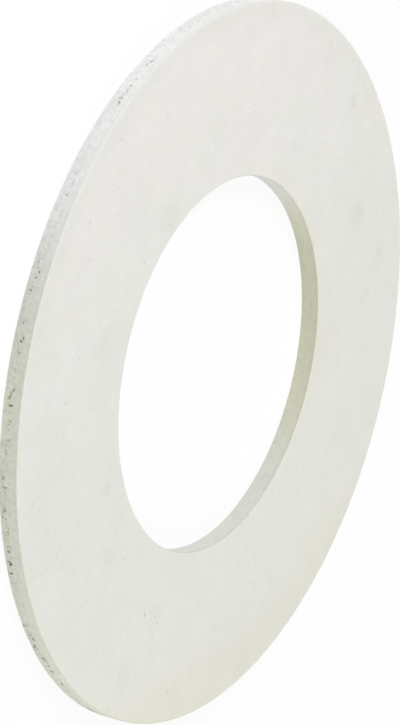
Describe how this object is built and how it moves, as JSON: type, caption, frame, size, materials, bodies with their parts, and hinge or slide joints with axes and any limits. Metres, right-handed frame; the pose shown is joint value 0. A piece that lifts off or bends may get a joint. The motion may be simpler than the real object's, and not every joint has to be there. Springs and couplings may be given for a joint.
{
  "type": "bath waste seal",
  "caption": "Flat round ring seal in off-white rubber with a wide central bore, clamped under the flange of a bath waste.",
  "frame": {"origin": "centre of the underside, on the axis of the bore", "axes": "+Z along the axis of the bore, up from the underside, with X and Y in the underside"},
  "size_m": [0.092, 0.092, 0.0025],
  "materials": {
    "seal_rubber": "matt off-white rubber with smooth faces and cut edges"
  },
  "bodies": {
    "root": {"waste_seal": "seal_rubber"}
  },
  "joints": []
}
